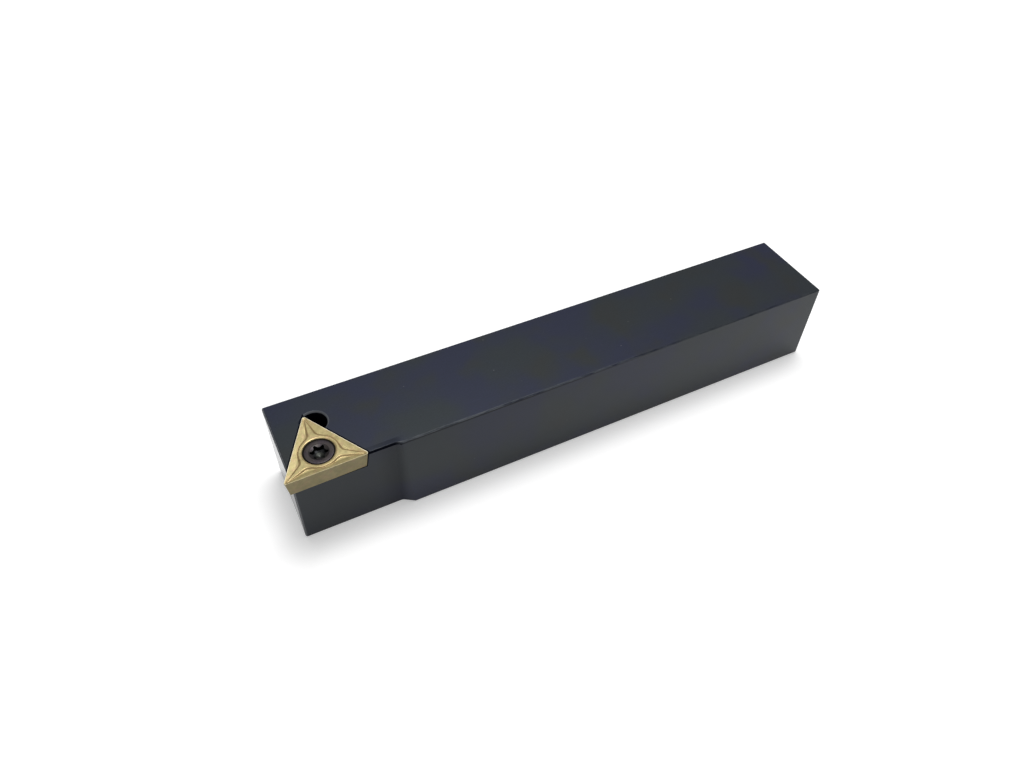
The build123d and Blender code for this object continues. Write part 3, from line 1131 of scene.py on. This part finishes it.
@dataclass
class ScrewHead:
    """The countersunk head with its six-lobe socket, and the core that the thread runs on."""

    head: float = 2.875
    rim: float = 0.18
    rim_break: float = 0.02
    chamfer_steps: int = 4
    chamfer: float = 0.12
    cone: float = 30.0
    neck: float = 1.95
    neck_length: float = 0.25
    neck_relief: float = 0.28
    relief_at: float = 0.6
    core: float = 1.45
    core_at: float = 3.65
    lead: float = 1.9
    lead_depth: float = 0.2
    lead_break: float = 0.03
    lead_start: float = 0.1
    lead_shares: tuple[float, ...] = (0.6, 0.97)
    wall_shares: tuple[float, ...] = (0.4, 0.8)
    lobe: float = 1.675
    waist: float = 1.2
    rib: float = 0.75
    lobe_round: float = 0.12
    turn: float = -14.0
    depth: float = 1.1
    floor_break: float = 0.06
    point: float = 65.0
    relief_end: float = 3.35
    core_end: float = 8.6
    end_point: tuple[float, float] = (0.0725, 8.7)
    points: int = 216

    def place(self) -> Vector:
        """The middle of the screw's top, in metres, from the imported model."""
        low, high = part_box("clamp_screw")
        return Vector(((low.x + high.x) / 2, (low.y + high.y) / 2, high.z))

    def socket_radius(self, degrees: float) -> float:
        """Radius of the six-lobe outline.

        Args:
            degrees: the direction from the screw's axis.

        Returns:
            The radius, in millimetres.
        """
        off = (degrees - self.turn) % 60 - 30
        span = self.waist + self.rib
        under = self.rib**2 - (span * math.sin(math.radians(off))) ** 2
        if under <= 0:
            return self.lobe
        rib_face = span * math.cos(math.radians(off)) - math.sqrt(under)
        return soft_min(self.lobe, rib_face, self.lobe_round)

    def lead_in(self, radius: float) -> float:
        """Depth of the cone that leads into the socket."""
        return self.lead_depth * (self.lead - radius) / (self.lead - self.waist)

    def ring(
        self, radius: float | Callable[[float], float], depth: float | Callable[[float], float]
    ) -> list[Vector]:
        """A ring below the screw's top.

        Args:
            radius: a radius, or a function of the direction in degrees.
            depth: a depth, or a function of the radius.

        Returns:
            The ring's points in millimetres, from the middle of the screw's top.
        """
        points = []
        for degrees in (360 * i / self.points for i in range(self.points)):
            r = radius(degrees) if callable(radius) else radius
            d = depth(r) if callable(depth) else depth
            points.append(direction(degrees) * r - Vector((0, 0, d)))
        return points

    def lobed(self, out: float, depth: float | Callable[[float], float]) -> list[Vector]:
        """A ring that follows the six-lobe outline, moved outwards by out."""
        return self.ring(lambda degrees: self.socket_radius(degrees) + out, depth)

    def lay_socket(self, skin: RingMesh) -> None:
        """Lays the socket's coned floor and its walls.

        Args:
            skin: the skin to add to.
        """
        floor_drop = self.waist / slope(self.point)
        for share, zone in ((0.02, Cut.FLOOR), (0.7, Cut.SOCKET), (0.97, Cut.SOCKET)):
            depth = self.depth + floor_drop * (1 - share)
            skin.add(self.ring(self.waist * share, depth), zone)
        skin.add(self.lobed(-self.floor_break, self.depth), Cut.SOCKET)
        skin.add(self.lobed(0.0, self.depth - self.floor_break), Cut.SOCKET)
        for share in self.wall_shares:
            floor = self.depth * (1 - share)
            skin.add(self.lobed(0.0, lambda r: floor + self.lead_in(r) * share), Cut.SOCKET)
        skin.add(self.lobed(0.0, lambda r: self.lead_in(r) + self.lead_break), Cut.SOCKET)
        skin.add(self.lobed(self.lead_break, self.lead_in), Cut.SOCKET)

    def lay_face(self, skin: RingMesh) -> None:
        """Lays the lead into the socket, the flat face and its chamfered rim.

        Args:
            skin: the skin to add to.
        """
        skin.add(self.lobed(self.lead_start, self.lead_in), Cut.FACE)
        for share in self.lead_shares:

            def between(degrees: float) -> float:
                """Radius at a share of the way from the socket to the edge of its lead."""
                radius = self.socket_radius(degrees)
                return radius + (self.lead - radius) * share

            skin.add(self.ring(between, self.lead_in), Cut.FACE)
        skin.add(self.ring(self.lead + self.lead_break, 0.0), Cut.FACE)
        skin.add(self.ring((self.lead + self.head) / 2, 0.0), Cut.FACE)
        for k in range(self.chamfer_steps + 1):
            angle = math.radians(90 * k / self.chamfer_steps)
            radius = self.head - self.chamfer * (1 - math.sin(angle))
            skin.add(self.ring(radius, self.chamfer * (1 - math.cos(angle))), Cut.FACE)

    def lay_core(self, skin: RingMesh) -> None:
        """Lays the head's cone, the neck and the core.

        Args:
            skin: the skin to add to.
        """
        cone_foot = self.rim + (self.head - self.neck) / slope(self.cone)
        relieved = self.neck - self.neck_relief
        steps = (
            (self.head, self.rim - self.rim_break),
            (self.head - self.rim_break, self.rim + self.rim_break),
            (self.neck, cone_foot),
            (self.neck, cone_foot + self.neck_length),
            (relieved, cone_foot + self.relief_at),
            (relieved, self.relief_end),
            (self.core, self.core_at),
            (self.core, self.core_end),
            self.end_point,
        )
        for radius, depth in steps:
            skin.add(self.ring(radius, depth), Cut.FACE)

    def build(self, finishes: Sequence[Finish]) -> bpy.types.Object:
        """Lays up the head from the socket's floor out and down to the end of the core.

        Args:
            finishes: those of the outside, of the socket's walls and of its floor.

        Returns:
            The head and core as one closed mesh.
        """
        skin = RingMesh()
        self.lay_socket(skin)
        self.lay_face(skin)
        self.lay_core(skin)
        to_place = Matrix.Translation(self.place()) @ Matrix.Scale(MM, 4)
        return skin.finish("screw_head", finishes, to_place)


@dataclass
class Thread:
    """A right-hand thread on the screw, drawn out of a plain cylinder by a geometry tree."""

    major: float = 1.95
    minor: float = 1.56
    pitch: float = 0.7
    crest: float = 0.10
    flank: float = 30.0
    run_out: float = 0.8
    start: float = 2.9
    end: float = 9.0
    end_chamfer: float = 0.4
    around: int = 96
    per_turn: int = 18
    sharp: float = 35.0

    def sizes(self) -> dict[str, float]:
        """The tree's inputs by name, with lengths in metres."""
        length = self.end - self.start
        return {
            "Major Radius": self.major * MM,
            "Minor Radius": self.minor * MM,
            "Pitch": self.pitch * MM,
            "Crest": self.crest * MM,
            "Flank Slope": slope(self.flank),
            "Length": length * MM,
            "End Chamfer": self.end_chamfer * MM,
            "Run-out Slope": self.run_out,
            "Around": self.around,
            "Along": round(length / self.pitch * self.per_turn),
        }

    def radius(self, g: NodeGraph, given: object, point: Sequence[Socket]) -> Socket:
        """The thread's radius at a point of the blank.

        Args:
            g: the tree's graph.
            given: the tree's inputs.
            point: the point's X, Y and Z.

        Returns:
            The radius, cut to the minor one between the crests and chamfered at the end.
        """
        x, y, z = point
        major, minor, length = given["Major Radius"], given["Minor Radius"], given["Length"]
        turns = g.over(g.compute("ARCTAN2", y, x), 2 * math.pi)
        phase = g.compute("FRACT", g.minus(g.over(z, given["Pitch"]), turns))
        from_crest = g.times(g.compute("ABSOLUTE", g.minus(phase, 0.5)), given["Pitch"])
        down_flank = g.greatest(g.minus(from_crest, g.times(given["Crest"], 0.5)), 0.0)
        cut = g.minus(major, g.over(down_flank, given["Flank Slope"]))
        from_end = g.plus(z, g.times(length, 0.5))
        from_neck = g.minus(g.times(length, 0.5), z)
        chamfered = g.plus(g.minus(major, given["End Chamfer"]), from_end)
        run_out = g.plus(minor, g.times(from_neck, given["Run-out Slope"]))
        return g.least(g.greatest(cut, minor), chamfered, run_out)

    def tree(self, finish: bpy.types.Material) -> bpy.types.GeometryNodeTree:
        """Builds the geometry tree.

        Args:
            finish: the screw's material, set at the tree's end.

        Returns:
            A tree with named inputs for the thread's sizes.
        """
        tree = bpy.data.node_groups.new("thread", "GeometryNodeTree")
        for name, size in self.sizes().items():
            kind = "NodeSocketInt" if isinstance(size, int) else "NodeSocketFloat"
            tree.interface.new_socket(name, in_out="INPUT", socket_type=kind)
        tree.interface.new_socket("Geometry", in_out="OUTPUT", socket_type="NodeSocketGeometry")
        g = NodeGraph(tree)
        given = g.node("NodeGroupInput").outputs
        blank = g.node("GeometryNodeMeshCylinder", fill_type="TRIANGLE_FAN")
        g.put(blank.inputs["Vertices"], given["Around"])
        g.put(blank.inputs["Side Segments"], given["Along"])
        g.put(blank.inputs["Radius"], given["Major Radius"])
        g.put(blank.inputs["Depth"], given["Length"])
        x, y, z = g.split(g.node("GeometryNodeInputPosition").outputs[0])
        factor = g.over(self.radius(g, given, (x, y, z)), given["Major Radius"])
        place = g.node("ShaderNodeCombineXYZ")
        for target, part in zip(place.inputs, (g.times(x, factor), g.times(y, factor), z)):
            g.put(target, part)
        cut = g.node("GeometryNodeSetPosition")
        g.put(cut.inputs["Geometry"], blank.outputs["Mesh"])
        g.put(cut.inputs["Position"], place.outputs[0])
        whole = g.node("GeometryNodeRealizeInstances")
        g.put(whole.inputs["Geometry"], cut.outputs["Geometry"])
        dressed = g.node("GeometryNodeSetMaterial")
        g.put(dressed.inputs["Geometry"], whole.outputs["Geometry"])
        dressed.inputs["Material"].default_value = finish
        g.put(g.node("NodeGroupOutput").inputs[0], dressed.outputs["Geometry"])
        return tree

    def build(self, top: Vector, finish: bpy.types.Material) -> bpy.types.Object:
        """Runs the tree and keeps its result as a plain mesh.

        Args:
            top: the middle of the screw's top, in metres.
            finish: the screw's material.

        Returns:
            The threaded length, with its place in its mesh.
        """
        work = add_object("thread_work", bpy.data.meshes.new("thread_work"))
        modifier = work.modifiers.new("thread", "NODES")
        modifier.node_group = self.tree(finish)
        sizes = self.sizes()
        for item in modifier.node_group.interface.items_tree:
            if item.in_out == "INPUT":
                modifier[item.identifier] = sizes[item.name]
        evaluated = work.evaluated_get(bpy.context.evaluated_depsgraph_get())
        mesh = bpy.data.meshes.new_from_object(evaluated)
        bpy.data.objects.remove(work)
        middle = top - Vector((0, 0, (self.start + self.end) / 2 * MM))
        mesh.transform(Matrix.Translation(middle))
        mesh.shade_smooth()
        mesh.set_sharp_from_angle(angle=math.radians(self.sharp))
        return add_object("screw_thread", mesh)


@dataclass
class ClampScrew:
    """The whole screw: its head and core, and the thread that runs on it."""

    head: ScrewHead = field(default_factory=ScrewHead)
    thread: Thread = field(default_factory=Thread)
    # The socket's walls take a dark tint that paints their shade.
    socket_shade_tint: Colour = (0.011, 0.012, 0.013)
    floor_tint: Colour = (0.036, 0.039, 0.034)

    def build(self) -> list[bpy.types.Object]:
        """Builds and dresses both pieces.

        Returns:
            The head and the thread.
        """
        top = self.head.place()
        turned = TurnedOxide("screw_finish", top)
        socket = turned.plain("socket_shade_finish", self.socket_shade_tint)
        floor = turned.plain("socket_floor_finish", self.floor_tint)
        head = self.head.build((turned, socket, floor))
        thread = self.thread.build(top, head.data.materials[0])
        for piece in (head, thread):
            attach(piece, "clamp_screw")
        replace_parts(head, "clamp_screw")
        return [head, thread]


# --- Tool body -----------------------------------------------------------------------


@dataclass
class ToolBody:
    """The shank and head, with every edge rounded a little over."""

    insert: InsertPlate
    edge_round: float = 0.05
    segments: int = 2
    sharp: float = 22.0
    merge: float = 0.0001
    flat: float = 0.2

    def solid(self) -> bpy.types.Mesh:
        """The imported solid, with its triangles joined into whole faces.

        Returns:
            A mesh of the body's own.
        """
        work = bmesh.new()
        work.from_mesh(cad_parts["tool_body"].data)
        bmesh.ops.remove_doubles(work, verts=work.verts, dist=self.merge * MM)
        flat = math.radians(self.flat)
        bmesh.ops.dissolve_limit(work, angle_limit=flat, verts=work.verts, edges=work.edges)
        mesh = bpy.data.meshes.new("holder_body")
        work.to_mesh(mesh)
        work.free()
        return mesh

    def build(self) -> list[bpy.types.Object]:
        """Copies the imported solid, rounds its edges and dresses it.

        Returns:
            The body as one closed mesh.
        """
        low, high = (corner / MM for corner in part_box("tool_body"))
        middle = self.insert.place() / MM
        seats = (low, high, middle, self.insert.inradius, self.insert.turn)
        mesh = self.solid()
        mesh.materials.clear()
        mesh.materials.append(BlackOxide("blackened_steel_finish", *seats).build())
        mesh.shade_smooth()
        piece = add_object("holder_body", mesh)
        bevel = piece.modifiers.new("edge_round", "BEVEL")
        bevel.width = self.edge_round * MM
        bevel.segments = self.segments
        bevel.limit_method = "ANGLE"
        bevel.angle_limit = math.radians(self.sharp)
        piece.modifiers.new("flat_faces", "WEIGHTED_NORMAL").keep_sharp = True
        evaluated = piece.evaluated_get(bpy.context.evaluated_depsgraph_get())
        rounded = bpy.data.meshes.new_from_object(evaluated)
        piece.modifiers.clear()
        piece.data = rounded
        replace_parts(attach(piece, "holder"), "tool_body")
        return [piece]


# --- Studio --------------------------------------------------------------------------


@dataclass(frozen=True)
class Softbox:
    """A flat lamp that looks at the tool, with its place and size in metres."""

    name: str
    place: Triple
    width: float
    height: float
    watts: float
    target: Triple = (0.0, 0.0, 0.01)

    def build(self) -> None:
        """Adds the lamp."""
        lamp = bpy.data.lights.new(self.name, "AREA")
        lamp.shape = "RECTANGLE"
        lamp.size = self.width
        lamp.size_y = self.height
        lamp.energy = self.watts
        holder = add_object(self.name, lamp)
        holder.location = self.place
        look = Vector(self.place) - Vector(self.target)
        holder.rotation_euler = look.to_track_quat("Z", "Y").to_euler()


@dataclass
class Studio:
    """Floor, surroundings, lamp and the camera.

    The floor's width is in metres; the camera's places and sizes are in millimetres. The
    surroundings' spans are shares of the way from the horizon to the zenith.
    """

    floor_width: float = 3.0
    surround: float = 0.3
    backdrop: float = 1.0
    dusk: float = 0.1
    zenith: Span = (0.40, 0.88)
    horizon: Span = (0.42, 0.15)
    lens: float = 28.097
    sensor: float = 36.0
    eye: Triple = (67.018, 101.998, 136.989)
    look_at: Triple = (5.835, -10.883, 0.0)
    roll: float = 1.943
    lamp: Softbox = Softbox(
        "overhead_softbox", place=(-0.16, -0.18, 1.1), width=0.54, height=0.52, watts=9.6
    )

    def build_floor(self) -> None:
        """A white floor under the tool."""
        half = self.floor_width / 2
        mesh = bpy.data.meshes.new("floor")
        corners = [(-half, -half, 0), (half, -half, 0), (half, half, 0), (-half, half, 0)]
        mesh.from_pydata(corners, [], [(0, 1, 2, 3)])
        mesh.materials.append(PaperFloor("paper_floor").build())
        add_object("floor", mesh)

    def build_world(self) -> None:
        """Even surroundings, a white backdrop to the camera, and dimmer halfway up in a gloss."""
        world = bpy.data.worlds.new("surroundings")
        world.use_nodes = True
        bpy.context.scene.world = world
        g = NodeGraph(world.node_tree)
        background = world.node_tree.nodes["Background"]
        path = g.node("ShaderNodeLightPath").outputs
        mirrored = path["Is Glossy Ray"]
        seen = g.greatest(path["Is Camera Ray"], mirrored, path["Is Transmission Ray"])
        strength = g.line(seen, self.backdrop - self.surround, self.surround)
        up = g.split(g.node("ShaderNodeTexCoord").outputs["Generated"])[2]
        height = g.line(g.ramp(up, *self.zenith), 1 - self.dusk, self.dusk)
        height = g.greatest(height, g.ramp(up, *self.horizon))
        height = g.line(mirrored, g.minus(height, 1.0), 1.0)
        background.inputs["Color"].default_value = WHITE
        g.put(background.inputs["Strength"], g.times(strength, height))

    def build_camera(self) -> None:
        """The camera, at the eye point and turned to the target."""
        data = bpy.data.cameras.new("camera")
        data.lens = self.lens
        data.sensor_width = self.sensor
        data.clip_start = 0.01
        camera = add_object("camera", data)
        eye = Vector(self.eye) * MM
        turn = (eye - Vector(self.look_at) * MM).to_track_quat("Z", "Y").to_matrix()
        turn = turn @ Matrix.Rotation(math.radians(self.roll), 3, "Z")
        camera.matrix_world = Matrix.Translation(eye) @ turn.to_4x4()
        bpy.context.scene.camera = camera

    def build(self) -> None:
        """Everything that isn't the tool."""
        self.build_floor()
        self.build_world()
        self.build_camera()
        self.lamp.build()
        bpy.context.scene.view_settings.view_transform = "Standard"


def main() -> None:
    logging.basicConfig(level=logging.INFO, format="%(message)s")
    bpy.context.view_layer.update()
    Studio().build()
    insert = InsertPlate()
    for assembly in (ToolBody(insert), insert, ClampScrew()):
        for piece in assembly.build():
            LOG.info("%s: %d faces", piece.name, len(piece.data.polygons))


if __name__ == "__main__":
    main()
